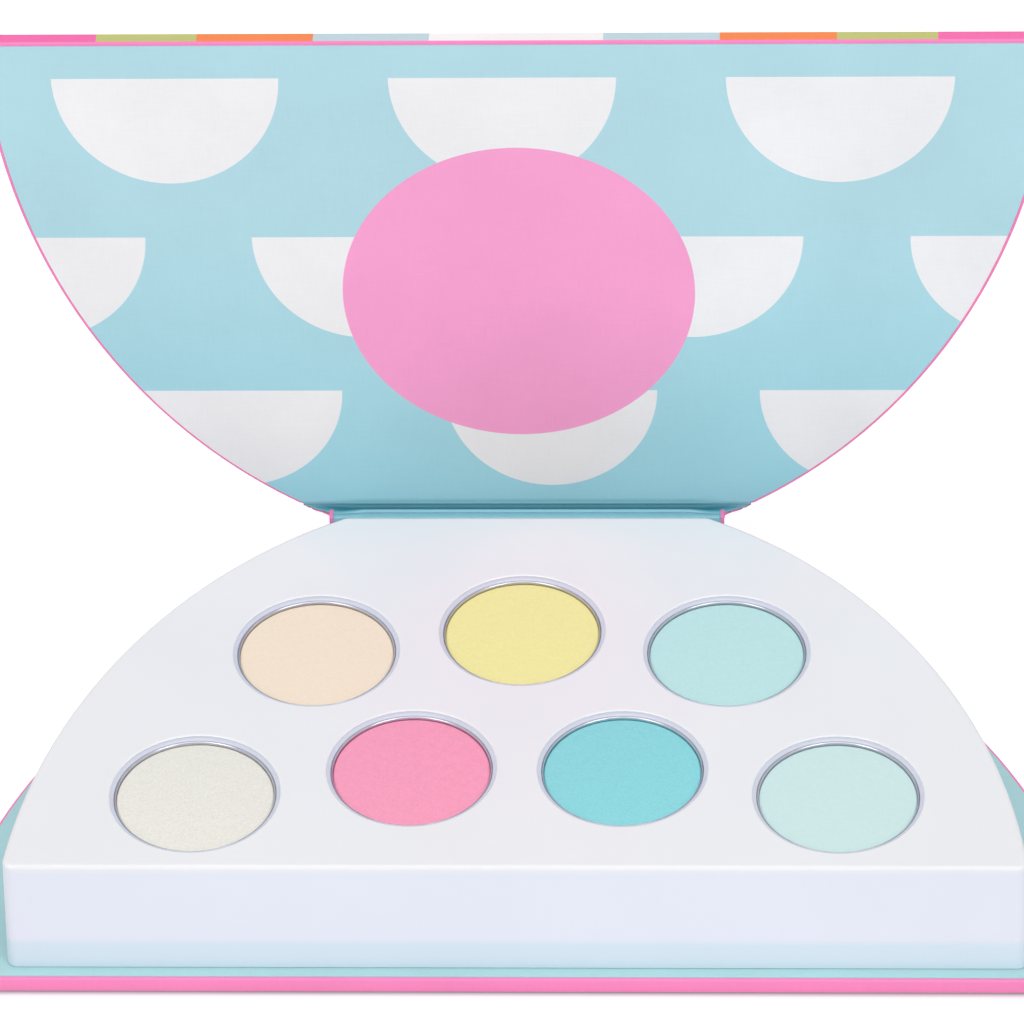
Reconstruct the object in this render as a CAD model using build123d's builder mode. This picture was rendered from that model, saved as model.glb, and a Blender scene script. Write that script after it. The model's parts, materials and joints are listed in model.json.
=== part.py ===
"""Half-disc book-style eyeshadow palette, in millimetres.

A wrapped board base carries a moulded tray with seven round pans.  A short spine stands behind
the tray, and the lid turns on a paper hinge along the spine's top edge.  It is modelled open.

Frame: +Z up, +X to the right, -Y to the front.  The origin is the middle of the underside.
"""
import os

from build123d import *

# ---------------------------------------------------------------- boards and papers
board = 2.5                 # greyboard of the base and the lid
spine_board_t = 2.0         # greyboard of the spine
paper = 0.2                 # every wrapping and lining paper
turn_in = 12.0              # wrap folded over onto the inner face
margin = 0.6                # wrap left showing round a liner
edge_round = 0.35           # rounding of the wrapped edges, on a cover's inner side
edge_break = 0.3            # bevel of the wrapped edges, on a cover's outer side
plan_corner = 1.5           # rounding of the covers' corners in plan

# Plan of the covers: half an ellipse that stands on the straight front edge
base_half_width = 92.6
lid_half_width = 86.4
overall_depth = 91.4        # straight front edge to the spine's outer face
round_past_spine = 10.2     # how far the full half ellipse would reach past the spine
spine_half_width = 33.4
spine_joint = 0.8           # gap between the base board and the spine board

# ---------------------------------------------------------------- tray
tray_half_width = 81.8
tray_front_margin = 3.2     # the base's front edge to the tray's front face, at the top
tray_curve_ahead = 10.4     # the tray's ellipse is centred this far in front of its front face
tray_curve_past = 7.5       # how far the tray's full ellipse would reach past its back
tray_height = 21.5
tray_wall = 1.6
tray_deck = 1.6
draft_growth = 0.7          # the wall's foot stands this much further out than its top
tray_edge_round = 0.7
tray_corner = 1.8
rib = 1.2
cross_rib_place = 37.0      # from the tray's front face
side_rib_length = 28.0
tray_tape = 0.15
tape_inset = 0.3
tape_width = 5.0

# ---------------------------------------------------------------- pans and wells
pan_radius = 13.0
pan_height = 4.2
pan_wall = 0.3
pan_bottom_round = 0.9
pan_recess = 0.65           # rim below the tray's deck
pan_gap = 0.7               # all round, between a pan and its well
pan_tape = 0.2
pan_tape_radius = 9.0
well_wall = 1.2
vent_radius = 3.0           # hole in the well's floor, for pushing a pan out
lip_round = 0.35
powder_below_rim = 0.25
powder_crown = 0.2
outer_front_pan = (51.6, 17.2)      # from the tray's centre line and front face
inner_front_pan = (17.0, 23.3)
outer_back_pan = (33.8, 51.8)
middle_back_pan = (0.0, 56.9)

# ---------------------------------------------------------------- closure
magnet_radius = 4.0
magnet_t = 1.5
plate_t = 1.0               # steel plates in the lid
magnet_boss = 1.2           # wall round each magnet
magnet_fit = 0.05           # radial clearance round the magnets and plates
magnet_place = (34.3, 7.6)          # from the tray's centre line and front face

# ---------------------------------------------------------------- hinge and lid
closed_gap = 0.3            # between the tray's deck and the closed lid's liner
lid_gap = 0.35              # between the hinge axis and the lid board's lower edge
lean = 4.75                 # degrees that the open lid leans back past upright
hinge_overlap = 1.6         # outer hinge paper glued to the spine and to the lid
hinge_clear = 0.05          # between the hinge paper and the papers that it meets
spine_drop = 0.3            # top of the spine's liner below the tray's deck
liner_tail = 12.0           # spine liner glued down between the spine and the tray
liner_seat = 0.8            # spine liner folded onto the spine's top edge

# ---------------------------------------------------------------- derived places
board_top = paper + board                   # above a cover's outer face
cover_t = board_top + 2 * paper             # with the turn-in and the liner
front_y = -overall_depth / 2
spine_outer_y = overall_depth / 2
spine_back_y = spine_outer_y - paper
spine_front_y = spine_back_y - spine_board_t
tray_back_y = spine_front_y - paper
base_back_y = spine_front_y - spine_joint
tray_front_y = front_y + tray_front_margin
tray_round_depth = tray_curve_ahead + tray_back_y - tray_front_y + tray_curve_past
round_depth = overall_depth + round_past_spine
tray_foot_z = cover_t + tray_tape
tray_top_z = tray_foot_z + tray_height
deck_under_z = tray_top_z - tray_deck
pan_rim_z = tray_top_z - pan_recess
pan_floor_z = pan_rim_z - pan_height
well_floor_z = pan_floor_z - pan_tape
well_radius = pan_radius + pan_gap
magnet_pocket = magnet_radius + magnet_fit
spine_top_z = tray_top_z - spine_drop - paper       # top edge of the spine's board
hinge_y = spine_outer_y
hinge_z = tray_top_z + closed_gap
cover_depth = hinge_y - front_y             # the closed lid ends flush with the base

# The open lid: local y runs up the lid from the hinge axis, local z faces its inner side
lid_plane = Plane(origin=(0, hinge_y, hinge_z), x_dir=(1, 0, 0),
                  z_dir=Vector(0, -1, 0).rotate(Axis.X, -lean))

pan_places = {
    "cream": (-outer_front_pan[0], outer_front_pan[1]),
    "pink": (-inner_front_pan[0], inner_front_pan[1]),
    "turquoise": inner_front_pan,
    "aqua": outer_front_pan,
    "peach": (-outer_back_pan[0], outer_back_pan[1]),
    "yellow": middle_back_pan,
    "mint": outer_back_pan,
}
pan_centres = {name: (x, tray_front_y + y) for name, (x, y) in pan_places.items()}
well_centres = list(pan_centres.values())
magnet_y = tray_front_y + magnet_place[1]
magnet_centres = [(-magnet_place[0], magnet_y), (magnet_place[0], magnet_y)]
plate_centres = [(x, hinge_y - y) for x, y in magnet_centres]      # on the lid's plane


# ---------------------------------------------------------------- outlines
def cover_outline(plane, half_width, straight, chord, inset):
    """Sketch a cover's plan: an ellipse centred on the straight edge, cut by the hinge chord."""
    way = 1 if chord > straight else -1
    near = straight + way * inset
    far = chord - way * inset
    with BuildSketch(plane) as outline:
        with Locations((0, straight)):
            Ellipse(half_width - inset, round_depth - inset)
        with Locations((0, (near + far) / 2)):
            Rectangle(2 * half_width, abs(far - near), mode=Mode.INTERSECT)
        fillet(outline.vertices(), max(plan_corner - inset, paper))
    return outline.sketch


def base_outline(height, inset=0.0):
    """Sketch the base's plan at a height above its outer face, drawn in by inset all round."""
    return cover_outline(Plane.XY.offset(height), base_half_width, front_y,
                         base_back_y + paper, inset)


def lid_outline(height, inset=0.0):
    """Sketch the lid's plan at a height above its outer face, drawn in by inset all round."""
    return cover_outline(lid_plane.offset(height - cover_t), lid_half_width, cover_depth,
                         lid_gap, inset)


def tray_outline(height, inset=0.0, growth=0.0):
    """Sketch the tray's plan; growth moves the front and the sides out, but not the back."""
    near = tray_front_y - growth + inset
    far = tray_back_y - inset
    with BuildSketch(Plane.XY.offset(height)) as outline:
        with Locations((0, tray_front_y - tray_curve_ahead)):
            Ellipse(tray_half_width + growth - inset, tray_round_depth + growth - inset)
        with Locations((0, (near + far) / 2)):
            Rectangle(2 * (tray_half_width + growth), far - near, mode=Mode.INTERSECT)
        fillet(outline.vertices(), max(tray_corner - inset, paper))
    return outline.sketch


# ---------------------------------------------------------------- what both covers share
def fill_board(outline):
    """Extrude a cover's greyboard."""
    extrude(outline(paper, paper), amount=board)


def fill_wrap(outline, plane):
    """Wrap a cover's board: outer skin, edge and the turn-in round the inner face."""
    extrude(outline(0), amount=board_top + paper)
    inward = Axis(plane.origin, plane.z_dir)
    fillet(faces().sort_by(inward)[-1].edges(), edge_round)
    chamfer(faces().sort_by(inward)[0].edges(), edge_break)
    extrude(outline(paper, paper), amount=board, mode=Mode.SUBTRACT)
    extrude(outline(board_top, turn_in), amount=paper, mode=Mode.SUBTRACT)


def fill_infill(outline):
    """Lay an infill sheet inside the turn-in, so that the liner over both lies flat."""
    extrude(outline(board_top, turn_in), amount=paper)


def fill_liner(outline):
    """Lay a liner over the turn-in and the infill."""
    extrude(outline(board_top + paper, margin), amount=paper)


def spine_block(half_width, y_low, y_high, z_low, z_high, mode=Mode.ADD):
    """Extrude a block centred on x = 0, for the spine and its papers."""
    with BuildSketch(Plane.XY.offset(z_low)) as plan:
        with Locations((0, (y_low + y_high) / 2)):
            Rectangle(2 * half_width, y_high - y_low)
    extrude(plan.sketch, amount=z_high - z_low, mode=mode)


# ---------------------------------------------------------------- base and spine
with BuildPart() as base_board:
    fill_board(base_outline)

with BuildPart() as base_wrap:
    fill_wrap(base_outline, Plane.XY)
    # The same sheet runs on under the spine, up its back, and over its two ends.
    spine_block(spine_half_width, base_back_y, spine_outer_y, 0, paper)
    spine_block(spine_half_width, spine_back_y, spine_outer_y, 0, spine_top_z - hinge_overlap)
    for side in (-1, 1):
        end_x = side * (spine_half_width - margin / 2)
        with BuildSketch(Plane.XY):
            with Locations((end_x, (tray_back_y + spine_back_y) / 2)):
                Rectangle(margin, spine_back_y - tray_back_y)
        extrude(amount=spine_top_z + paper)
    spine_block(spine_half_width - paper, spine_front_y, spine_back_y, paper, spine_top_z,
                mode=Mode.SUBTRACT)

with BuildPart() as base_infill:
    fill_infill(base_outline)

with BuildPart() as base_liner:
    fill_liner(base_outline)

with BuildPart() as spine_board:
    spine_block(spine_half_width - paper, spine_front_y, spine_back_y, paper, spine_top_z)

with BuildPart() as spine_liner:
    liner_half_width = spine_half_width - margin
    spine_block(liner_half_width, tray_back_y, spine_front_y,
                spine_top_z - liner_tail, spine_top_z + paper)
    spine_block(liner_half_width, tray_back_y, spine_front_y + liner_seat,
                spine_top_z, spine_top_z + paper)

# ---------------------------------------------------------------- tray
# The hollow under the tray's deck, less the cups, magnet bosses and ribs that stand in it
with BuildPart() as tray_hollow:
    loft([tray_outline(tray_foot_z, inset=tray_wall, growth=draft_growth),
          tray_outline(deck_under_z, inset=tray_wall)], ruled=True)
    with BuildSketch(Plane.XY.offset(well_floor_z - well_wall)):
        with Locations(*well_centres):
            Circle(well_radius + well_wall)
    extrude(amount=tray_height, mode=Mode.SUBTRACT)
    with BuildSketch(Plane.XY.offset(deck_under_z - magnet_t)):
        with Locations(*magnet_centres):
            Circle(magnet_pocket + magnet_boss)
            Circle(magnet_pocket, mode=Mode.SUBTRACT)
    extrude(amount=tray_height, mode=Mode.SUBTRACT)
    with BuildSketch(Plane.XY):
        with Locations((0, tray_front_y + cross_rib_place)):
            Rectangle(3 * tray_half_width, rib)
        with Locations((0, tray_front_y)):
            Rectangle(rib, 2 * cross_rib_place)
        for rib_x, _ in magnet_centres:
            with Locations((rib_x, magnet_y + side_rib_length / 2)):
                Rectangle(rib, side_rib_length)
        with Locations(*magnet_centres):
            Circle(magnet_pocket, mode=Mode.SUBTRACT)
    extrude(amount=2 * tray_height, mode=Mode.SUBTRACT)

with BuildPart() as tray:
    # Drafted outer shape with a rounded top edge, hollowed from below
    loft([tray_outline(tray_foot_z, growth=draft_growth), tray_outline(tray_top_z)], ruled=True)
    fillet(faces().sort_by(Axis.Z)[-1].edges(), tray_edge_round)
    add(tray_hollow.part, mode=Mode.SUBTRACT)
    # The wells, with a vent through each floor and a rounded lip
    with BuildSketch(Plane.XY.offset(well_floor_z)):
        with Locations(*well_centres):
            Circle(well_radius)
    extrude(amount=tray_height, mode=Mode.SUBTRACT)
    with BuildSketch(Plane.XY.offset(well_floor_z - well_wall)):
        with Locations(*well_centres):
            Circle(vent_radius)
    extrude(amount=well_wall, mode=Mode.SUBTRACT)
    lips = edges().filter_by(GeomType.CIRCLE).filter_by_position(Axis.Z, pan_rim_z, tray_top_z)
    fillet(lips, lip_round)

with BuildPart() as tray_tape_band:
    extrude(tray_outline(cover_t, tape_inset, draft_growth), amount=tray_tape)
    extrude(tray_outline(cover_t, tape_inset + tape_width, draft_growth), amount=tray_tape,
            mode=Mode.SUBTRACT)

with BuildPart() as tray_magnets:
    with BuildSketch(Plane.XY.offset(deck_under_z - magnet_t)):
        with Locations(*magnet_centres):
            Circle(magnet_radius)
    extrude(amount=magnet_t)

# ---------------------------------------------------------------- pans and powders
with BuildPart() as pan_tapes:
    with BuildSketch(Plane.XY.offset(well_floor_z)):
        with Locations(*well_centres):
            Circle(pan_tape_radius)
    extrude(amount=pan_tape)


def make_pan(centre):
    """Draw a round pan with a rounded bottom edge, open at the top."""
    with BuildPart() as pan:
        with BuildSketch(Plane.XY.offset(pan_floor_z)):
            with Locations(centre):
                Circle(pan_radius)
        extrude(amount=pan_height)
        fillet(edges().sort_by(Axis.Z)[0], pan_bottom_round)
        offset(amount=-pan_wall, openings=faces().sort_by(Axis.Z)[-1])
    return pan


def make_powder(centre):
    """Press a powder into its pan: up to just below the rim, with a slight crown."""
    radius = pan_radius - pan_wall
    bottom = pan_floor_z + pan_wall
    crown_z = pan_rim_z - powder_below_rim + powder_crown
    crown_radius = (radius ** 2 + powder_crown ** 2) / (2 * powder_crown)
    with BuildPart() as powder:
        with BuildSketch(Plane.XY.offset(bottom)):
            with Locations(centre):
                Circle(radius)
        extrude(amount=crown_z - bottom)
        fillet(edges().group_by(Axis.Z)[0], pan_bottom_round - pan_wall)
        with Locations((*centre, crown_z - crown_radius)):
            Sphere(crown_radius, mode=Mode.INTERSECT)
    return powder


# ---------------------------------------------------------------- lid
with BuildPart() as lid_board:
    fill_board(lid_outline)
    with BuildSketch(lid_plane.offset(board_top - cover_t)):
        with Locations(*plate_centres):
            Circle(magnet_pocket)
    extrude(amount=-plate_t, mode=Mode.SUBTRACT)

with BuildPart() as lid_plates:
    with BuildSketch(lid_plane.offset(board_top - cover_t)):
        with Locations(*plate_centres):
            Circle(magnet_radius)
    extrude(amount=-plate_t)

with BuildPart() as lid_wrap:
    fill_wrap(lid_outline, lid_plane)
    # The outer hinge paper takes the wrap's place along the lid's lower edge.
    with BuildSketch(lid_plane.offset(-cover_t)):
        with Locations((0, lid_gap + hinge_overlap / 2)):
            Rectangle(2 * lid_half_width, hinge_overlap)
    extrude(amount=paper, mode=Mode.SUBTRACT)

with BuildPart() as lid_infill:
    fill_infill(lid_outline)

with BuildPart() as lid_liner:
    fill_liner(lid_outline)


# ---------------------------------------------------------------- hinge papers
def lid_point(up, out):
    """Give the (y, z) of a point up the lid from the hinge axis and out in front of it."""
    place = lid_plane.from_local_coords(Vector(0, up, out))
    return place.Y, place.Z


def hinge_paper(points):
    """Run a strip of paper along x, with its middle line through the points in the YZ plane."""
    with BuildPart() as strip:
        with BuildSketch(Plane.YZ.offset(-spine_half_width + margin)):
            with BuildLine():
                Polyline(*points)
            trace(line_width=paper)
        extrude(amount=2 * (spine_half_width - margin))
    return strip


half = paper / 2
hinge_liner = hinge_paper([
    (spine_front_y + liner_seat + hinge_clear, spine_top_z + half),
    (spine_back_y - half, spine_top_z + half),
    lid_point(lid_gap - half, -half),
    lid_point(lid_gap + margin - hinge_clear, -half),
])
hinge_wrap = hinge_paper([
    (spine_outer_y - half, spine_top_z - hinge_overlap + hinge_clear),
    (spine_outer_y - half, spine_top_z - half),
    lid_point(lid_gap - half - hinge_clear, half - cover_t),
    lid_point(lid_gap + hinge_overlap - hinge_clear, half - cover_t),
])

# ---------------------------------------------------------------- export
pieces = {
    "base_board": base_board,
    "base_wrap": base_wrap,
    "base_infill": base_infill,
    "base_liner": base_liner,
    "spine_board": spine_board,
    "spine_liner": spine_liner,
    "tray": tray,
    "tray_tape": tray_tape_band,
    "tray_magnets": tray_magnets,
    "pan_tapes": pan_tapes,
    "lid_board": lid_board,
    "lid_wrap": lid_wrap,
    "lid_infill": lid_infill,
    "lid_liner": lid_liner,
    "lid_plates": lid_plates,
    "hinge_liner": hinge_liner,
    "hinge_wrap": hinge_wrap,
}
for colour, centre in pan_centres.items():
    pieces["pan_" + colour] = make_pan(centre)
    pieces["powder_" + colour] = make_powder(centre)

os.makedirs("parts", exist_ok=True)
for name, piece in pieces.items():
    piece.part.label = name
    export_step(piece.part, f"parts/{name}.step")
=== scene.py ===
# %% [markdown]
# A half-disc eyeshadow palette, standing open like a book.
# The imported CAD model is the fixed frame: every length below is read from it or measured from
# the real object, and every piece rides on one of its two bodies, "base" or "lid".

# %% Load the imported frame
import json
import math
import bpy
import numpy as np
from mathutils import Matrix, Vector


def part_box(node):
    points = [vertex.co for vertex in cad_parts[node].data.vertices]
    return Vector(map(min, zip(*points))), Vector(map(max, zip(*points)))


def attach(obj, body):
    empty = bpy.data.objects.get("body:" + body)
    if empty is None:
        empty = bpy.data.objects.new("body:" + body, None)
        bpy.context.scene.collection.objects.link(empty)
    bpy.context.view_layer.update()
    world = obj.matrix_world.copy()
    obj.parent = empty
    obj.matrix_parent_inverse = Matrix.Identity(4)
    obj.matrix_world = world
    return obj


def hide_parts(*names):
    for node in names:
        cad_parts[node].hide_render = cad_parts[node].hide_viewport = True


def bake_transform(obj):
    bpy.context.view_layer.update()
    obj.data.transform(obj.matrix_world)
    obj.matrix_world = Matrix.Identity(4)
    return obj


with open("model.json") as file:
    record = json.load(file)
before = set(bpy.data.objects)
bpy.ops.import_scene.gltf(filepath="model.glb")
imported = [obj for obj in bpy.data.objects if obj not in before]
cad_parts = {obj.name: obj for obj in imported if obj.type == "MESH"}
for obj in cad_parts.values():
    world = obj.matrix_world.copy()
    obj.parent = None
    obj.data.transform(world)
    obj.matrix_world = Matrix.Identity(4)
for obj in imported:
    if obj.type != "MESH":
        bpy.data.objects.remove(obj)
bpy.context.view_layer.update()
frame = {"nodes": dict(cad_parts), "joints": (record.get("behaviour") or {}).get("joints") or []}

# %% [markdown]
# The lid turns on a paper hinge. Its joint gives the axis, and the far end of its range is the
# closed lid, so the part of the range past a right angle is how far the open lid leans back.

# %% Places on the frame, in millimetres
MM = 0.001
hinge = next(j for j in frame["joints"] if j["name"] == "lid_hinge")
hinge_y, hinge_z = hinge["pos_m"][1] / MM, hinge["pos_m"][2] / MM
lean = math.radians(hinge["range_deg"][1] - 90)


def node_box(node):
    """Give a CAD node's lowest and highest corners in millimetres."""
    return [np.array(corner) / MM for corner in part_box(node)]


def lid_point(up, out):
    """Give the (y, z) of a point up the open lid from the hinge and out in front of it."""
    return (hinge_y + up * math.sin(lean) - out * math.cos(lean),
            hinge_z + up * math.cos(lean) + out * math.sin(lean))


tray_low, tray_high = node_box("tray")
spine_low, spine_high = node_box("spine_board")
colours = ("cream", "pink", "turquoise", "aqua", "peach", "yellow", "mint")
print("hinge at", hinge_y, hinge_z, "lean", round(math.degrees(lean), 2))

# %% [markdown]
# The camera looks down on the open palette from the front with a long lens, so the lid and
# the tray keep nearly parallel sides. A camera looks along its own -Z with +Y up, so the
# three directions right, up and back are the columns of its matrix.

# %% Camera
CAMERA_PLACE = (33.66, -733.44, 683.48)         # mm
CAMERA_PITCH, CAMERA_YAW, CAMERA_ROLL = (math.radians(a) for a in (40.227, 2.661, 1.744))
CAMERA_LENS = 212.0                             # mm, on a 36 mm sensor


def camera_matrix(place, pitch, yaw, roll):
    """Turn a level camera by yaw about Z, down by pitch, then by roll about its own view."""
    right, ahead = Vector((1, 0, 0)), Vector((0, math.cos(pitch), -math.sin(pitch)))
    down = ahead.cross(right)
    level = Matrix((right, down, ahead))
    spin = Matrix(((math.cos(roll), math.sin(roll), 0),
                   (-math.sin(roll), math.cos(roll), 0), (0, 0, 1)))
    rows = spin @ level @ Matrix(((math.cos(yaw), math.sin(yaw), 0),
                                  (-math.sin(yaw), math.cos(yaw), 0), (0, 0, 1)))
    axes = Matrix((rows[0], -rows[1], -rows[2])).transposed()
    return Matrix.Translation(Vector(place) * MM) @ axes.to_4x4()


camera = bpy.data.objects.new("camera", bpy.data.cameras.new("camera"))
bpy.context.scene.collection.objects.link(camera)
camera.data.lens = CAMERA_LENS
camera.matrix_world = camera_matrix(CAMERA_PLACE, CAMERA_PITCH, CAMERA_YAW, CAMERA_ROLL)
bpy.context.scene.camera = camera
print("camera at", CAMERA_PLACE, "mm with a lens of", CAMERA_LENS, "mm")

# %% [markdown]
# A finish is a small graph of nodes. This class keeps such graphs short to write: add() makes
# a node and joins its inputs, and calc() is one step of arithmetic. Colours are written as
# they are seen on a screen, and ink() turns them into the linear values that Blender wants.

# %% Screen colours
def ink(red, green, blue):
    """Turn a screen colour (0 to 255) into linear RGBA, by the sRGB curve."""
    seen = np.array([red, green, blue]) / 255
    light = np.where(seen <= 0.04045, seen / 12.92, ((seen + 0.055) / 1.055) ** 2.4)
    return (*light.tolist(), 1.0)


print("mid grey as ink:", [round(v, 3) for v in ink(128, 128, 128)])

# %% Helpers for finishes
class Finish:
    """One material under construction, around a Principled shader."""

    def __init__(self, name, **sockets):
        self.material = bpy.data.materials.new(name)
        self.material.use_nodes = True
        self.tree = self.material.node_tree
        self.shader = self.tree.nodes["Principled BSDF"]
        for socket, value in sockets.items():
            self.shader.inputs[socket.replace("_", " ")].default_value = value

    def join(self, socket, value):
        if isinstance(value, bpy.types.NodeSocket):
            self.tree.links.new(value, socket)
        elif value is not None:
            socket.default_value = value

    def add(self, kind, inputs=(), output=0, **settings):
        node = self.tree.nodes.new("ShaderNode" + kind)
        for key, value in settings.items():
            setattr(node, key, value)
        named = inputs.items() if isinstance(inputs, dict) else enumerate(inputs)
        for key, value in named:
            self.join(node.inputs[key], value)
        return node.outputs[output]

    def calc(self, operation, *values):
        return self.add("Math", values, operation=operation)

    def place(self, scale=(1, 1, 1)):
        """Object coordinates in millimetres, times a scale for stretched grain."""
        return self.add("Mapping", {"Vector": self.add("TexCoord", output="Object"),
                                    "Scale": [s / MM for s in scale]})

    def noise(self, vector, scale, detail=2.0, roughness=0.5):
        return self.add("TexNoise", {"Vector": vector, "Scale": scale, "Detail": detail,
                                     "Roughness": roughness})

    def spread(self, value, low, high, to_low=0.0, to_high=1.0):
        return self.add("MapRange", (value, low, high, to_low, to_high))

    def mix(self, share, first, second, mode="MIX"):
        node = self.tree.nodes.new("ShaderNodeMix")
        node.data_type, node.blend_type = "RGBA", mode
        for key, value in ((0, share), (6, first), (7, second)):
            self.join(node.inputs[key], value)
        return node.outputs[2]

    def paint(self, socket, value):
        self.join(self.shader.inputs[socket], value)

    def emboss(self, height, depth, strength=1.0):
        """Bump by a height from 0 to 1, where 1 stands depth millimetres high.

        A bump that is there already becomes the ground of the new one.
        """
        bump = self.add("Bump", {"Strength": strength, "Distance": depth * MM,
                                 "Height": height})
        normal = self.shader.inputs["Normal"]
        if normal.is_linked:
            self.join(bump.node.inputs["Normal"], normal.links[0].from_socket)
        self.paint("Normal", bump)


def dress(node, finish):
    """Give a CAD node a finish in all its material slots."""
    mesh = frame["nodes"][node].data
    if not mesh.materials:
        mesh.materials.append(finish.material)
    for slot_number in range(len(mesh.materials)):
        mesh.materials[slot_number] = finish.material


# %% [markdown]
# New pieces are grids of points worked out as whole arrays. One helper gives the faces of a
# grid, and one puts points and faces into a mesh whose object stays at the origin.

# %% Helpers for surfaces
TURNS = 192                             # points round a turned piece


def grid_faces(rows, columns, closed=False):
    """Quads of a rows x columns grid, joined back to its first column when closed."""
    row, column = np.meshgrid(np.arange(rows - 1), np.arange(columns - (not closed)),
                              indexing="ij")
    right = (column + 1) % columns
    corners = [row * columns + column, (row + 1) * columns + column,
               (row + 1) * columns + right, row * columns + right]
    return np.stack(corners, -1).reshape(-1, 4)


def make_piece(name, points, faces, finish):
    """Make a smooth-shaded object from points in millimetres and lists of corners."""
    mesh = bpy.data.meshes.new(name)
    mesh.from_pydata((np.asarray(points) * MM).tolist(), [], faces)
    mesh.polygons.foreach_set("use_smooth", np.ones(len(mesh.polygons), bool))
    mesh.materials.append(finish.material)
    mesh.update()
    piece = bpy.data.objects.new(name, mesh)
    bpy.context.scene.collection.objects.link(piece)
    return piece


def turned(rows, turns):
    """Carry rows of (radius, height) round the vertical axis, as arrays x, y and z.

    x = r_i cos a, y = r_i sin a, z = h_i, with a row of the arrays for each row i.
    """
    angle = np.linspace(0, 2 * np.pi, turns, endpoint=False)
    return (rows[:, :1] * np.cos(angle), rows[:, :1] * np.sin(angle),
            np.repeat(rows[:, 1:2], turns, 1))


def lathe(name, profile, centre, finish, turns=TURNS, relief=None):
    """Turn a profile of (radius, height, flag) rows into a closed piece round a centre.

    The first and last rows are the poles, one point each. relief(x, y) gives a height to add
    to the rows whose flag is 1.
    """
    rings = profile[1:-1]
    x, y, z = turned(rings, turns)
    if relief is not None:
        z = z + rings[:, 2:3] * relief(x, y)
    points = np.stack([x, y, z], -1).reshape(-1, 3)
    poles = np.array([[0, 0, profile[0, 1]], [0, 0, profile[-1, 1]]])
    points = np.concatenate([points, poles]) + [*centre, 0]
    quads = grid_faces(len(rings), turns, closed=True)
    step = np.arange(turns)
    after = (step + 1) % turns
    first, last = len(points) - 2, len(points) - 1
    end = (len(rings) - 1) * turns
    caps = [np.stack([np.full(turns, first), step, after], -1),
            np.stack([np.full(turns, last), end + after, end + step], -1)]
    faces = quads.tolist() + np.concatenate(caps).tolist()
    return make_piece(name, points, faces, finish)


def turn_ring(name, section, centre, finish, turns=TURNS):
    """Turn a closed section of (radius, height) rows into a ring round a centre.

    The last row of quads runs on to the first row of points.
    """
    points = np.stack(turned(section, turns), -1).reshape(-1, 3) + [*centre, 0]
    quads = grid_faces(len(section) + 1, turns, closed=True) % len(points)
    return make_piece(name, points, quads.tolist(), finish)


def smooth_path(points, samples):
    """Run a smooth curve through points: cubic pieces whose tangents are the central slopes."""
    points = np.asarray(points, float)
    reach = np.concatenate([[0], np.cumsum(np.hypot(*np.diff(points, axis=0).T))])
    slope = np.gradient(points, reach, axis=0)
    at = np.linspace(0, reach[-1], samples)
    k = np.clip(np.searchsorted(reach, at, side="right") - 1, 0, len(points) - 2)
    span = (reach[k + 1] - reach[k])[:, None]
    t = ((at - reach[k]) / span[:, 0])[:, None]
    return ((2 * t ** 3 - 3 * t ** 2 + 1) * points[k] + (t ** 3 - 2 * t ** 2 + t) * span * slope[k]
            + (3 * t ** 2 - 2 * t ** 3) * points[k + 1] + (t ** 3 - t ** 2) * span * slope[k + 1])


# %% [markdown]
# The floor is a plain white sweep. A thin contact shadow is painted into the floor's colour
# along the front edge, where the base's bevel meets the floor, and a little extra brightness
# that only the camera sees takes the open floor up to white.

# %% Floor
FLOOR_HALF = 4000.0
LIFT_FRONT, LIFT_BACK = 0.07, 0.45      # brightness that only the camera sees
FLOOR_WHITE, FLOOR_SHADE = (0.93, 0.93, 0.93, 1), (0.30, 0.30, 0.32, 1)

floor_finish = Finish("floor_white", Roughness=0.9)
floor_finish.paint("Specular IOR Level", 0.0)
floor_finish.paint("Emission Color", (1, 1, 1, 1))
camera_ray = floor_finish.add("LightPath", output="Is Camera Ray")
floor_x, floor_y = floor_finish.add("SeparateXYZ", [floor_finish.place()]).node.outputs[:2]
base_low, base_high = node_box("base_wrap")
front_edge, side_edge = float(base_low[1]), float(base_high[0])
# Painted shadow: a thin dark band in the floor's colour along the base's front edge
painted_contact_shadow = floor_finish.spread(floor_y, front_edge - 1.0, front_edge + 0.1)
painted_contact_shadow = floor_finish.calc("MULTIPLY", painted_contact_shadow, floor_finish.calc(
    "LESS_THAN", floor_y, front_edge + 1.0))
painted_contact_shadow = floor_finish.calc("MULTIPLY", painted_contact_shadow, floor_finish.spread(
    floor_finish.calc("ABSOLUTE", floor_x), side_edge - 2.0, side_edge - 0.5, 1.0, 0.0))
floor_finish.paint("Base Color", floor_finish.mix(painted_contact_shadow, FLOOR_WHITE, FLOOR_SHADE))
lift = floor_finish.spread(floor_y, front_edge - 4, front_edge + 14, LIFT_FRONT, LIFT_BACK)
far_lift = floor_finish.spread(floor_y, front_edge - 40, front_edge - 140,
                               LIFT_FRONT, LIFT_BACK)
lift = floor_finish.calc("MAXIMUM", lift, far_lift)
floor_finish.paint("Emission Strength", floor_finish.calc("MULTIPLY", camera_ray, lift))
side = np.array([-FLOOR_HALF, FLOOR_HALF])
floor_points = np.stack([*np.meshgrid(side, side, indexing="ij"), np.zeros((2, 2))], -1)
floor_mesh = bpy.data.meshes.new("floor")
floor_mesh.from_pydata((floor_points.reshape(-1, 3) * MM).tolist(), [], [(0, 2, 3, 1)])
floor_mesh.materials.append(floor_finish.material)
floor = bpy.data.objects.new("floor", floor_mesh)
bpy.context.scene.collection.objects.link(floor)
print("floor of", 2 * FLOOR_HALF * MM, "m square")

# %% [markdown]
# The world is white to the camera and to mirrors, and plain to everything else. Three square
# lamps, two in front and one above, give the soft light of a studio table.

# %% World and lamps
WORLD_LIGHT = 0.53
LAMP_AIM, LAMP_SIDE = (0, 0, 30), 500   # mm
SIDE_POWER, TOP_POWER = 2.85, 2.6       # watts

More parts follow.
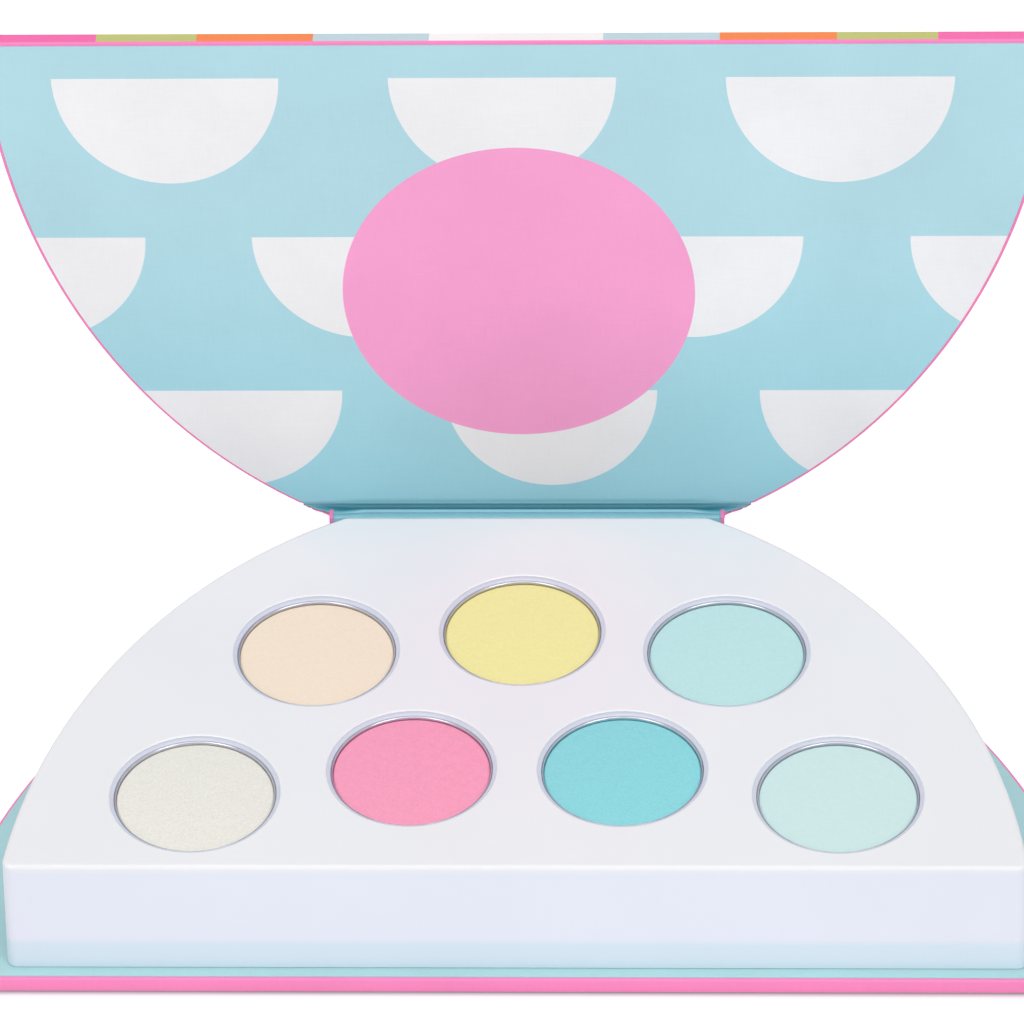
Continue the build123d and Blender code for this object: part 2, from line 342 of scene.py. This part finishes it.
world = bpy.data.worlds.new("studio")
bpy.context.scene.world = world
world.use_nodes = True
sky = world.node_tree
path = sky.nodes.new("ShaderNodeLightPath")
seen = sky.nodes.new("ShaderNodeMath")
seen.operation = "MAXIMUM"
sky.links.new(path.outputs["Is Camera Ray"], seen.inputs[0])
sky.links.new(path.outputs["Is Glossy Ray"], seen.inputs[1])
level = sky.nodes.new("ShaderNodeMapRange")
level.inputs["To Min"].default_value = WORLD_LIGHT
sky.links.new(seen.outputs[0], level.inputs["Value"])
sky.nodes["Background"].inputs["Color"].default_value = (1, 1, 1, 1)
sky.links.new(level.outputs["Result"], sky.nodes["Background"].inputs["Strength"])


def softbox(name, place, size, power, colour=(1, 1, 1)):
    """Hang a square lamp at a place in millimetres, facing the palette."""
    lamp = bpy.data.objects.new(name, bpy.data.lights.new(name, "AREA"))
    bpy.context.scene.collection.objects.link(lamp)
    lamp.data.size, lamp.data.energy, lamp.data.color = size * MM, power, colour
    away = Vector(place) - Vector(LAMP_AIM)
    lamp.matrix_world = (Matrix.Translation(Vector(place) * MM)
                         @ away.to_track_quat("Z", "Y").to_matrix().to_4x4())


softbox("left_softbox", (-600, -730, 750), LAMP_SIDE, SIDE_POWER, (1.0, 0.99, 0.98))
softbox("right_softbox", (600, -730, 750), LAMP_SIDE, SIDE_POWER, (0.98, 0.99, 1.0))
softbox("top_softbox", (0, -250, 1000), 1.4 * LAMP_SIDE, TOP_POWER)
print("three softboxes over a world of strength", WORLD_LIGHT)

# %% [markdown]
# The covers are wrapped in laminated paper: a satin film over printed paper, with a fine
# fibre under it. The same recipe dresses the pink wrap and the teal lining.

# %% Laminated paper
def laminated(name, tone=0.03, roughness=0.36):
    """Satin paper: cloudy tone, fibres along x and z, and a faint press texture.

    The shade that the tone and the fibres give is kept as finish.shade, to tint a colour by.
    """
    finish = Finish(name, Roughness=roughness, IOR=1.48)
    cloud = finish.noise(finish.place(), 0.05, 3)
    shade = finish.spread(cloud, 0.3, 0.7, 1 - tone, 1 + tone)
    weave_x = finish.noise(finish.place((7, 1.2, 0.35)), 1.0, 2)
    weave_z = finish.noise(finish.place((0.35, 1.2, 7)), 1.0, 2)
    thread = finish.calc("ADD", weave_x, weave_z)
    grain = finish.spread(thread, 0.8, 1.2, 1 - tone / 2, 1 + tone / 2)
    finish.shade = finish.calc("MULTIPLY", shade, grain)
    finish.emboss(thread, 0.006, 0.6)
    finish.emboss(finish.noise(finish.place(), 9.0, 2), 0.004, 0.5)
    return finish


def tint(finish, colour, shade):
    """Paint a colour times a shade, both from the graph or plain."""
    return finish.mix(1.0, colour, finish.add("CombineColor", (shade, shade, shade)), "MULTIPLY")


PINK, TEAL, BASE_TEAL = ink(247, 133, 189), ink(172, 213, 224), ink(174, 214, 218)
pink_paper = laminated("pink_laminate")
pink_paper.paint("Base Color", tint(pink_paper, PINK, pink_paper.shade))
teal_paper = laminated("teal_laminate")
teal_paper.paint("Base Color", tint(teal_paper, BASE_TEAL, teal_paper.shade))
print("paper finishes:", pink_paper.material.name, teal_paper.material.name)

# %% [markdown]
# The hidden pieces are dressed as well, because the palette may be taken apart: flecked
# greyboard, wrinkled tape, plain paper between board and lining, and plated metal.

# %% Greyboard, tapes, magnets and plates
greyboard = Finish("greyboard", Roughness=0.92)
fleck = greyboard.noise(greyboard.place((1, 1, 5)), 2.2, 5, 0.7)
greyboard.paint("Base Color", greyboard.mix(greyboard.spread(fleck, 0.35, 0.65),
                                            ink(128, 120, 110), ink(168, 160, 148)))
greyboard.emboss(fleck, 0.05)

film_tape = Finish("double_sided_tape", Roughness=0.45)
wrinkle = film_tape.noise(film_tape.place(), 1.4, 3)
film_tape.paint("Base Color", film_tape.mix(film_tape.spread(wrinkle, 0.4, 0.6),
                                            ink(222, 220, 212), ink(236, 235, 230)))
film_tape.emboss(wrinkle, 0.02)

plain_paper = Finish("plain_infill_paper", Roughness=0.8)
fibre = plain_paper.noise(plain_paper.place((3, 1, 0.6)), 1.4, 4)
plain_paper.paint("Base Color", plain_paper.mix(plain_paper.spread(fibre, 0.35, 0.65),
                                                ink(232, 229, 220), ink(244, 242, 236)))
plain_paper.emboss(fibre, 0.01)

nickel = Finish("nickel_plating", Roughness=0.24, Metallic=1.0)
scratch = nickel.noise(nickel.place((1, 14, 14)), 0.9, 4)
nickel.paint("Base Color", nickel.mix(scratch, ink(176, 174, 172), ink(208, 206, 202)))
nickel.emboss(scratch, 0.004)

# %% [markdown]
# These pieces have the right shape already, so each only takes one of the finishes.

# %% Pieces that keep their CAD shape
for node in ("base_board", "spine_board", "lid_board"):
    dress(node, greyboard)
for node in ("base_infill", "lid_infill"):
    dress(node, plain_paper)
for node in ("tray_tape", "pan_tapes"):
    dress(node, film_tape)
for node in ("tray_magnets", "lid_plates"):
    dress(node, nickel)
dress("base_wrap", pink_paper)
dress("base_liner", teal_paper)
print("dressed boards, infills, tapes, magnets, plates and the base's papers")

# %% [markdown]
# Positions on the lid are easiest in the lid's own plane. A Mapping node of the texture kind
# takes the hinge's place away and turns the lean back, which leaves x across, y up the lid
# and z out towards the tray, all in millimetres.

# %% The lid's own coordinates
def on_lid(finish):
    """Give (across, up, out) in the open lid's plane, in millimetres."""
    flat = finish.add("Mapping", {"Vector": finish.add("TexCoord", output="Object"),
                                  "Location": (0, hinge_y * MM, hinge_z * MM),
                                  "Rotation": (math.pi / 2 - lean, 0, 0),
                                  "Scale": (MM, MM, MM)}, vector_type="TEXTURE")
    split = finish.add("SeparateXYZ", [flat]).node
    return split.outputs[0], split.outputs[1], split.outputs[2]


def inside(finish, value, edge, soft=0.04):
    """1 where value is under edge, 0 past it, with a soft step as printing has."""
    return finish.spread(value, edge - soft, edge + soft, 1.0, 0.0)


# %% [markdown]
# The lid's lining is printed with rows of white half-discs, flat side up. Each row is moved
# along by a little over half a step. Inside one cell of the repeat, v is the depth below the
# flat edge and u the distance from the cell's middle, so the print is where
# (u / half width)^2 + (v / height)^2 < 1. The rows shrink a little towards the hinge, and one
# plain pink disc lies over them.

# %% Printed lining of the lid
ROW_TOP, ROW_STEP = 84.7, 30.5
DISC_STEP, ROW_SHIFT, FIRST_DISC = 54.5, 30.75, -2.4
ROW_SHRINK = 0.0085         # each row is smaller than the first by this times its number squared
HALF_WIDTH, HALF_HEIGHT = 18.4, 20.0
SUN_PLACE, SUN_RADII = (-0.5, 43.1), (29.1, 28.3)
WHITE_INK, SUN_INK = ink(235, 235, 238), ink(244, 157, 206)
TEAL_LOW_SHADE, GROOVE_SHADE_TEAL = ink(155, 213, 227), ink(56, 140, 159)
SHADE_TOP, SHADE_LOW = 45.0, 0.92         # painted shade: the lining is painted darker towards the hinge
POOL_PLACE, POOL_RADIUS, POOL_SHADE = 5.0, 45.0, 0.82    # painted shade, deepest in its middle
CREASE_TOP, CREASE_SHARE = 1.7, 0.42    # share of the painted groove shade where the lid's fold starts

printed_lining = laminated("printed_lining")
across, up, out = on_lid(printed_lining)
calc = printed_lining.calc
below = calc("SUBTRACT", ROW_TOP, up)
row = calc("FLOOR", calc("DIVIDE", below, ROW_STEP))
size = calc("SUBTRACT", 1.0, calc("MULTIPLY", calc("MULTIPLY", row, row), ROW_SHRINK))
v = calc("DIVIDE", calc("SUBTRACT", below, calc("MULTIPLY", row, ROW_STEP)), size)
start = calc("ADD", FIRST_DISC - DISC_STEP / 2, calc("MULTIPLY", row, ROW_SHIFT))
u = calc("SUBTRACT", calc("DIVIDE", across, size), start)
u = calc("SUBTRACT", calc("FLOORED_MODULO", u, DISC_STEP), DISC_STEP / 2)


def oval(finish, along, radius_a, over, radius_b):
    """Distance outside an oval, roughly in millimetres: (|p / radii| - 1) times a radius."""
    a = finish.calc("DIVIDE", along, radius_a)
    b = finish.calc("DIVIDE", over, radius_b)
    both = finish.calc("ADD", finish.calc("MULTIPLY", a, a), finish.calc("MULTIPLY", b, b))
    return finish.calc("MULTIPLY", finish.calc("SUBTRACT", finish.calc("SQRT", both), 1.0),
                       radius_a)


half_disc = inside(printed_lining, oval(printed_lining, u, HALF_WIDTH, v, HALF_HEIGHT), 0.0)
half_disc = calc("MULTIPLY", half_disc, inside(printed_lining, row, 2.5, 0.1))
half_disc = calc("MULTIPLY", half_disc, calc("GREATER_THAN", below, 0.0))
sun = inside(printed_lining, oval(
    printed_lining, calc("SUBTRACT", across, SUN_PLACE[0]), SUN_RADII[0],
    calc("SUBTRACT", up, SUN_PLACE[1]), SUN_RADII[1]), 0.0)
# Painted shade: the teal ground is painted deeper towards the hinge
ground = printed_lining.mix(printed_lining.spread(up, 0.0, 60.0), TEAL_LOW_SHADE, TEAL)
print_and_painted_shade = printed_lining.mix(half_disc, ground, WHITE_INK)
print_and_painted_shade = printed_lining.mix(sun, print_and_painted_shade, SUN_INK)
# Painted shade: just above its lower edge the lid's lining is mixed towards the groove's dark teal
crease = printed_lining.spread(up, 0.95, CREASE_TOP, CREASE_SHARE, 0.0)
crease = calc("MULTIPLY", crease, printed_lining.spread(
    calc("ABSOLUTE", across), 28.0, 34.0, 1.0, 0.0))
print_and_painted_shade = printed_lining.mix(crease, print_and_painted_shade, GROOVE_SHADE_TEAL)
# Painted shade: the lining is darker towards the hinge, and darker still in a pool round the
# middle of its lower edge
painted_shade = printed_lining.spread(up, 0.0, SHADE_TOP, SHADE_LOW, 1.0)
shade_pool = oval(printed_lining, calc("SUBTRACT", across, POOL_PLACE), POOL_RADIUS, up, POOL_RADIUS)
painted_shade = calc("MULTIPLY", painted_shade, printed_lining.spread(shade_pool, -POOL_RADIUS, 0.0, POOL_SHADE, 1.0))
printed_lining.paint("Base Color", tint(printed_lining, print_and_painted_shade,
                                        calc("MULTIPLY", printed_lining.shade, painted_shade)))
dress("lid_liner", printed_lining)
print("lining printed with half-discs", 2 * HALF_WIDTH, "mm wide")

# %% [markdown]
# The outside of the lid carries half-rings round the middle of its straight edge, one colour
# after another. They run over the edge's thickness, which is where they show from the front,
# and the strip that is folded in round the lining is pink.

# %% Printed wrap of the lid
RING_EDGES = (14.0, 32.7, 51.5, 67.7)
RING_INKS = (ink(253, 248, 250), ink(197, 218, 227), ink(252, 140, 76), ink(198, 201, 122),
             ink(250, 112, 178))
LID_HEIGHT = hinge_y - node_box("base_wrap")[0][1]

ring_wrap = laminated("ring_printed_wrap")
ring_wrap.paint("Specular IOR Level", 0.2)
across, up, out = on_lid(ring_wrap)
away = ring_wrap.calc("SUBTRACT", LID_HEIGHT, up)
radius = ring_wrap.calc("SQRT", ring_wrap.calc(
    "ADD", ring_wrap.calc("MULTIPLY", across, across), ring_wrap.calc("MULTIPLY", away, away)))
ring_colour = RING_INKS[-1]
for edge, colour in zip(reversed(RING_EDGES), reversed(RING_INKS[:-1])):
    ring_colour = ring_wrap.mix(inside(ring_wrap, radius, edge), ring_colour, colour)
folded_in = ring_wrap.spread(out, -0.55, -0.45)
ring_colour = ring_wrap.mix(folded_in, ring_colour, PINK)
ring_wrap.paint("Base Color", tint(ring_wrap, ring_colour, ring_wrap.shade))
dress("lid_wrap", ring_wrap)
print("wrap printed with", len(RING_EDGES), "rings out to", RING_EDGES[-1], "mm")

# %% [markdown]
# The tray is one moulding in glossy white plastic. Its skin has the faint waviness of a
# moulded part. Its thin wall is painted a cooler lilac than the deck as painted shade, and
# near its foot a teal band is a painted reflection of the lining.

# %% Tray plastic
TRAY_WHITE, WALL_LILAC_SHADE, FOOT_TEAL_REFLECTION = ink(236, 236, 239), ink(227, 231, 243), ink(212, 228, 240)
TEAL_REFLECTION_BAND = 5.8
plastic = Finish("white_moulding", Roughness=0.2, IOR=1.47)
wave = plastic.noise(plastic.place(), 0.09, 2)
height = plastic.add("SeparateXYZ", [plastic.place()]).node.outputs[2]
foot_z, top_z = float(tray_low[2]), float(tray_high[2])
# Painted shade and reflection: lilac on the wall below the deck, and a teal band near the foot
in_wall = plastic.spread(height, top_z - 0.2, top_z - 1.6)
skin_with_painted_light = plastic.mix(in_wall, TRAY_WHITE, WALL_LILAC_SHADE)
skin_with_painted_light = plastic.mix(plastic.spread(height, foot_z + TEAL_REFLECTION_BAND + 0.3, foot_z + TEAL_REFLECTION_BAND - 0.9),
                   skin_with_painted_light, FOOT_TEAL_REFLECTION)
cloud = plastic.spread(plastic.noise(plastic.place(), 0.03, 2), 0.3, 0.7, 0.985, 1.01)
plastic.paint("Base Color", tint(plastic, skin_with_painted_light, cloud))

plastic.emboss(wave, 0.012, 0.3)
plastic.emboss(plastic.noise(plastic.place(), 3.0, 2), 0.0002, 0.2)
plastic.paint("Roughness", plastic.spread(plastic.noise(plastic.place(), 0.4, 4),
                                          0.35, 0.7, 0.19, 0.25))
dress("tray", plastic)
print("tray moulding from", round(foot_z, 2), "to", round(top_z, 2), "mm")

# %% [markdown]
# Each pan is a drawn cup of thin sheet metal. It is turned from its profile: up the outside,
# over a rim that is softly rounded on its inner side and down to the floor, with the draw
# marks as fine rings in the finish.

# %% Pans
tin = Finish("drawn_tin", Metallic=1.0)
mark = tin.noise(tin.place((1, 1, 18)), 0.8, 3)
tin.paint("Base Color", tin.mix(mark, ink(172, 172, 182), ink(200, 200, 210)))
tin.paint("Roughness", tin.spread(mark, 0.3, 0.7, 0.16, 0.25))
tin.emboss(mark, 0.003)

PAN_WALL, PAN_CORNER = 0.3, 0.9
RIM_OUTER, RIM_DROP = 0.06, 0.45        # small round outside, long soft round inside


def arc(centre, radius, start, end, steps):
    """Points on a quarter or half circle, from one angle in degrees to another."""
    angle = np.radians(np.linspace(start, end, steps))
    return np.stack([centre[0] + radius * np.cos(angle), centre[1] + radius * np.sin(angle)], -1)


def pan_profile(radius, floor_z, rim_z):
    """Profile of a cup, from the middle of its underside round to the middle of its inside."""
    inner = PAN_CORNER - PAN_WALL
    foot = floor_z + PAN_CORNER
    rows = [[[0, floor_z]], [[0.4 * radius, floor_z]],
            arc((radius - PAN_CORNER, foot), PAN_CORNER, -90, 0, 10),
            arc((radius - RIM_OUTER, rim_z - RIM_OUTER), RIM_OUTER, 0, 90, 4),
            arc((0, 0), 1, 90, 180, 12) * (PAN_WALL - RIM_OUTER, RIM_DROP)
            + (radius - RIM_OUTER, rim_z - RIM_DROP),
            arc((radius - PAN_CORNER, foot), inner, 0, -90, 10),
            [[0.4 * radius, floor_z + PAN_WALL]], [[0, floor_z + PAN_WALL]]]
    rows = np.concatenate([np.asarray(r, float) for r in rows])
    return np.column_stack([rows, np.zeros(len(rows))])[::-1]


def round_place(node):
    """Give a round upright node's centre in plan, its radius, its foot and its top."""
    low, high = node_box(node)
    return (low + high)[:2] / 2, (high - low)[0] / 2, low[2], high[2]


for colour in colours:
    centre, radius, foot, rim = round_place("pan_" + colour)
    pan = lathe("pan_cup_" + colour, pan_profile(radius, foot, rim), centre, tin)
    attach(pan, "base")
    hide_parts("pan_" + colour)
print("pans of radius", round(float(radius), 2), "rim at", round(float(rim), 2))

# %% [markdown]
# Each well has a moulded lip that slopes from the deck down to the pan, so that hardly any gap
# is left round the metal. Its section is a closed outline, turned into a ring.

# %% Lips of the wells
LIP_GAP, LIP_DEPTH, LIP_WIDTH, LIP_DROP = 0.07, 1.5, 0.92, 0.5      # mm
LIP_ROUND, LIP_WALL, LIP_EDGE = 0.15, 0.55, 0.2
deck_z = float(tray_high[2]) - 0.03     # just under the deck

# The lip is the tray's white plastic painted a cooler grey than the deck, as painted shade of the
# well
lip_plastic_shaded = Finish("lip_moulding_shaded", Roughness=0.2, IOR=1.47)
lip_cloud = lip_plastic_shaded.spread(lip_plastic_shaded.noise(lip_plastic_shaded.place(), 0.2, 2), 0.3, 0.7,
                               0.985, 1.01)
lip_plastic_shaded.paint("Base Color", tint(lip_plastic_shaded, ink(208, 212, 226), lip_cloud))
lip_plastic_shaded.paint("Roughness", lip_plastic_shaded.spread(lip_cloud, 0.985, 1.01, 0.18, 0.24))


def lip_profile(radius):
    """Section of a lip: up its inner face, over a quarter round, up the slope, down inside."""
    knee = deck_z - LIP_DROP
    turn = arc((radius + LIP_ROUND, knee - LIP_ROUND), LIP_ROUND, 180, 110, 5)
    rest = [[radius + LIP_WIDTH, deck_z], [radius + LIP_WIDTH, deck_z - LIP_EDGE],
            [radius + LIP_WALL, knee - 0.1], [radius + LIP_WALL, deck_z - LIP_DEPTH]]
    return np.concatenate([[[radius, deck_z - LIP_DEPTH]], turn, rest])


for colour in colours:
    centre, radius = round_place("pan_" + colour)[:2]
    lip = turn_ring("well_lip_" + colour, lip_profile(radius + LIP_GAP), centre, lip_plastic_shaded)
    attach(lip, "base")
print("lips", LIP_GAP, "mm outside the pans")

# %% [markdown]
# Powder is pressed into each pan under a cloth. The cake has a low crown, a rounded shoulder
# where the press tool stopped, and a soft unevenness. Four shades are matte; three carry
# pearl, which glints from small flakes.

# %% Pressed powders
POWDERS = {
    "cream": (ink(236, 233, 223), 0.8), "pink": (ink(251, 160, 190), 0.8),
    "turquoise": (ink(141, 219, 224), 0.8), "aqua": (ink(205, 231, 230), 0.0),
    "peach": (ink(243, 226, 204), 0.0), "yellow": (ink(241, 233, 160), 0.0),
    "mint": (ink(189, 228, 227), 0.0)}
SHOULDER = 0.25
SETTLED = 0.2               # how far the pressed cake lies below its full height
SLACK = 0.02                # between the cake and the pan's wall
CAKE_RISE = 0.22            # how far the crown stands above its edge
CAKE_TURNS, FIRST_SEED = 224, 3
WAVES, WAVE_LENGTHS, WAVE_HEIGHT = 24, (1.0, 4.0), 0.0022       # mm


def powder_finish(name, colour, pearl):
    """Powder: fine grain in tone and height, and flakes of pearl where pearl is over 0."""
    finish = Finish("powder_cake_" + name, Roughness=0.85)
    grain = finish.noise(finish.place(), 6.0, 4, 0.7)
    speck = finish.noise(finish.place(), 1.6, 3, 0.6)
    shade = finish.calc("MULTIPLY", finish.spread(grain, 0.3, 0.7, 0.965, 1.03),
                        finish.spread(speck, 0.3, 0.7, 0.975, 1.02))
    if pearl:
        flake = finish.add("TexVoronoi", {"Vector": finish.place(), "Scale": 5.5}, "Color")
        level = finish.add("SeparateColor", [flake])
        shade = finish.calc("MULTIPLY", shade, finish.spread(level, 0, 1, 0.93, 1.07))
        finish.paint("Metallic", finish.spread(level, 0.55, 1.0, 0.0, pearl))
        finish.paint("Roughness", finish.spread(level, 0.5, 1.0, 0.62, 0.36))
        finish.emboss(level, 0.02, 0.5)
    finish.emboss(grain, 0.03, 0.7)
    finish.paint("Base Color", tint(finish, colour, shade))
    return finish


def powder_relief(seed):
    """Give relief(x, y): a sum of plane waves 1 to 4 mm long, about 0.01 mm high in all."""
    draw = np.random.default_rng(seed)
    turn, length, phase = (draw.uniform(0, 2 * np.pi, WAVES), draw.uniform(*WAVE_LENGTHS, WAVES),
                           draw.uniform(0, 2 * np.pi, WAVES))

    def relief(x, y):
        way = x[..., None] * np.cos(turn) + y[..., None] * np.sin(turn)
        return WAVE_HEIGHT * np.sin(2 * np.pi * way / length + phase).sum(-1)
    return relief


def cake_profile(radius, floor_z, crown_z):
    """Crown whose height falls with the square of the radius, shoulder, side and underside."""
    r = np.linspace(0, radius - SHOULDER, 70)
    top = crown_z - CAKE_RISE + CAKE_RISE * (1 - (r / radius) ** 2)
    rim = arc((radius - SHOULDER, top[-1] - SHOULDER), SHOULDER, 82, 0, 7)
    foot = arc((radius - 0.6, floor_z + 0.6), 0.6, 0, -90, 6)
    rows = np.concatenate([np.stack([r, top], -1), rim, foot, [[0, floor_z]]])
    return np.column_stack([rows, (rows[:, 1] > top[-1] - 0.001) * 1.0])


for number, colour in enumerate(colours):
    centre, radius, foot, top = round_place("powder_" + colour)
    cake = lathe("pressed_powder_" + colour, cake_profile(radius - SLACK, foot, top - SETTLED),
                 centre, powder_finish(colour, *POWDERS[colour]),
                 turns=CAKE_TURNS, relief=powder_relief(FIRST_SEED + number))
    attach(cake, "base")
    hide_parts("powder_" + colour)
print("powders of radius", round(float(radius), 2))

# %% [markdown]
# The hinge is paper. Inside, the teal lining runs over the spine's top edge, rises in a small
# ridge, falls into the groove and climbs round the lower edge of the lid's board. Outside, the
# pink wrap makes one loose roll from the spine to the lid, and its ends are folded in under
# the lining. Both are made as they lie with the lid open, from the spine to the lid, so that
# neither crosses the other. Both also widen from the spine's width to the lid's.

# %% Hinge papers
PAPER = 0.2
half = PAPER / 2
spine_front, spine_back, spine_top = spine_low[1], spine_high[1], spine_high[2]
strip_half = node_box("hinge_liner")[1][0]
spine_half = spine_high[0] + PAPER
LID_CORNER_HALF = 37.9                  # half the lid's width at its lower edge
LINING_RUN, COVER_RUN = 2.0, 4.2        # mm of paper over which each one widens
SHEET_ROWS = 220

strip_start = [(spine_front - half, spine_top - 11.8), (spine_front - half, spine_top - 2.0),
               (spine_front - half, spine_top - 0.3), (spine_front + 0.04, spine_top + 0.04),
               (spine_front + 0.3, spine_top + half), (spine_front + 0.95, spine_top + half)]
lid_finish = [lid_point(0.14, -0.8), lid_point(0.24, -0.5), lid_point(0.37, -0.22),
              lid_point(0.62, -half + 0.01), lid_point(1.02, -half - 0.02)]
lining_path = smooth_path(
    strip_start
    + [(spine_front + 1.2, spine_top + 0.07), (spine_front + 1.38, spine_top + 0.2),
       (spine_front + 1.6, spine_top + 0.38), (spine_front + 1.85, spine_top + 0.3),
       (spine_back + 0.1, spine_top + 0.0), (spine_back + 0.5, spine_top - 0.16),
       (spine_back + 0.95, spine_top + 0.05), (spine_back + 1.15, spine_top + 0.5)]
    + lid_finish, SHEET_ROWS)
flat_path = smooth_path(
    strip_start
    + [(spine_front + 1.3, spine_top + 0.09), (spine_front + 1.6, spine_top + 0.1),
       (spine_front + 1.9, spine_top + 0.1), (spine_back + 0.2, spine_top + 0.12),
       (spine_back + 0.5, spine_top + 0.2), (spine_back + 0.8, spine_top + 0.35),
       (spine_back + 0.95, spine_top + 0.6)]
    + lid_finish, SHEET_ROWS)
cover_path = smooth_path(
    [(spine_back + half, spine_top - 1.55), (spine_back + half, spine_top - 0.8),
     (spine_back + 0.2, spine_top - 0.42), (spine_back + 0.65, spine_top - 0.5),
     (spine_back + 1.4, spine_top - 0.2), (spine_back + 2.4, spine_top + 0.5),
     (spine_back + 3.1, spine_top + 1.0), lid_point(0.5, half - 3.1),
     lid_point(1.1, half - 3.1), lid_point(2.15, half - 3.1)], SHEET_ROWS)
under_path = smooth_path(
    [(spine_front + 0.1, spine_top - half), (spine_front + 1.0, spine_top - half),
     (spine_front + 1.6, spine_top - half), (spine_back + 0.3, spine_top - 0.2),
     (spine_back + 0.75, spine_top - 0.1), (spine_back + 1.2, spine_top + 0.2),
     (spine_back + 1.4, spine_top + 0.55), lid_point(0.1, -1.0), lid_point(0.12, -0.9)],
    SHEET_ROWS)


def widening(path, narrow, run, power, lead):
    """Half width down a path: narrow on the spine, then a taper out to the lid's.

    s is the length past the point lead behind the spine, as a share of run, and
    half = narrow + gain s^power.
    """
    along = np.concatenate([[0], np.cumsum(np.hypot(*np.diff(path, axis=0).T))])
    leave = along[np.argmax(path[:, 0] > spine_back + lead)]
    share = np.clip((along - leave) / run, 0, 1)
    return narrow + (LID_CORNER_HALF - narrow) * share ** power


def bent_sheet(name, columns, shares, first, second, halves, finish, nodes):
    """Sheet across the hinge.

    Column c, from -1 to 1, follows first + share * (second - first) in (y, z), and lies at
    x = c * half width of that row.
    """
    share = np.asarray(shares, float)[None, :, None]
    way = first[:, None] * (1 - share) + second[:, None] * share
    x = halves[:, None] * np.asarray(columns, float)[None]
    points = np.concatenate([x[..., None], way], -1).reshape(-1, 3)
    faces = grid_faces(len(first), len(columns))
    piece = make_piece(name, points, faces.tolist(), finish)
    thick = piece.modifiers.new("thickness", "SOLIDIFY")
    thick.thickness, thick.offset = PAPER * MM, 0
    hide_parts(*nodes)
    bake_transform(piece)
    return piece


# %% [markdown]
# The groove's shade is painted into the lining's colour. How much is a value at each point of the
# sheet: 0 on the strip and the ridge, 1 at the bottom of the groove, and less and less as the
# sheet climbs to the lid.

# %% Lining over the hinge
# Painted shade: the lining over the hinge is a darker teal than the lid's, for the shade beside
# the tray's back
FOLD_TEAL_SHADED = ink(136, 188, 202)
CLIMB, CLIMB_SHARE = 0.75, 0.8          # mm above the groove, and how much of the painted shade is lost
CREASE_LINE = 0.9                       # share of the painted groove shade in the crease line before the ridge
END_TAPER, END_FLAT = 5.0, 0.8          # mm at each end where the ridge runs out
LINING_COLUMNS = 121

folded_lining = laminated("folded_teal_laminate")
# Painted shade: the lining is mixed towards the groove's dark teal where the sheet's groove value
# says
painted_groove_shade = folded_lining.add("Attribute", output="Fac", attribute_name="painted_groove_shade")
folded_lining.paint("Base Color", tint(folded_lining, folded_lining.mix(
    painted_groove_shade, FOLD_TEAL_SHADED, GROOVE_SHADE_TEAL), folded_lining.shade))


def groove_shade_share(path):
    """Share of the painted groove shade down the path: past the ridge, and in a dark line before
    it.
    """
    y, z = path.T
    after = np.clip((y - spine_front - 1.65) / 0.22, 0, 1)
    climb = CLIMB_SHARE * np.clip((z - spine_top + 0.1) / CLIMB, 0, 1)
    groove = after * (1 - climb) * (z > spine_top - 0.3)
    line = CREASE_LINE * np.exp(-((y - spine_front - 1.22) / 0.12) ** 2)
    return np.maximum(groove, line)


columns = np.linspace(-1, 1, LINING_COLUMNS)
from_end = (1 - np.abs(columns)) * strip_half
edge_share = np.clip((from_end - END_FLAT) / END_TAPER, 0, 1)
edge_share = edge_share ** 2 * (3 - 2 * edge_share)
lining = bent_sheet("hinge_lining", columns, edge_share, flat_path, lining_path,
                    widening(lining_path, strip_half, LINING_RUN, 0.85, -0.3), folded_lining,
                    ["hinge_liner", "spine_liner"])
reach = 0.45 + 0.55 * np.clip(from_end / 3.0, 0, 1)
groove_shades = groove_shade_share(lining_path)[:, None] * reach[None]
values = lining.data.attributes.new("painted_groove_shade", "FLOAT", "POINT")
values.data.foreach_set("value", groove_shades.astype(np.float32).ravel())
print("hinge lining with", groove_shades.size, "points")

# %% [markdown]
# The cover runs across the outside, and each of its ends is folded in under the lining. So its
# columns start under one end, turn the edge, cross the outside and fold in at the other end.

# %% Cover over the hinge
FOLD, EDGE = 3.0, 0.05                  # mm folded in, and mm over which the edge turns
OUTER_COLUMNS = 60
outer = np.linspace(1, -1, OUTER_COLUMNS)
fold_shares = [1 - FOLD / spine_half, 1 - EDGE / spine_half]
cover_columns = np.concatenate([fold_shares, [1], outer, [-1], [-f for f in fold_shares[::-1]]])
cover_share = np.concatenate([[0, 0, 0.5], np.ones(OUTER_COLUMNS), [0.5, 0, 0]])
bent_sheet("hinge_cover", cover_columns, cover_share, under_path, cover_path,
           widening(cover_path, spine_half, COVER_RUN, 1.2, 0.12), pink_paper,
           ["hinge_wrap"])
print("hinge papers from", round(float(spine_half), 2), "to", LID_CORNER_HALF, "half wide")

# %% [markdown]
# The plain view transform shows each colour as it is written.

# %% View settings and the end
bpy.context.scene.view_settings.view_transform = "Standard"
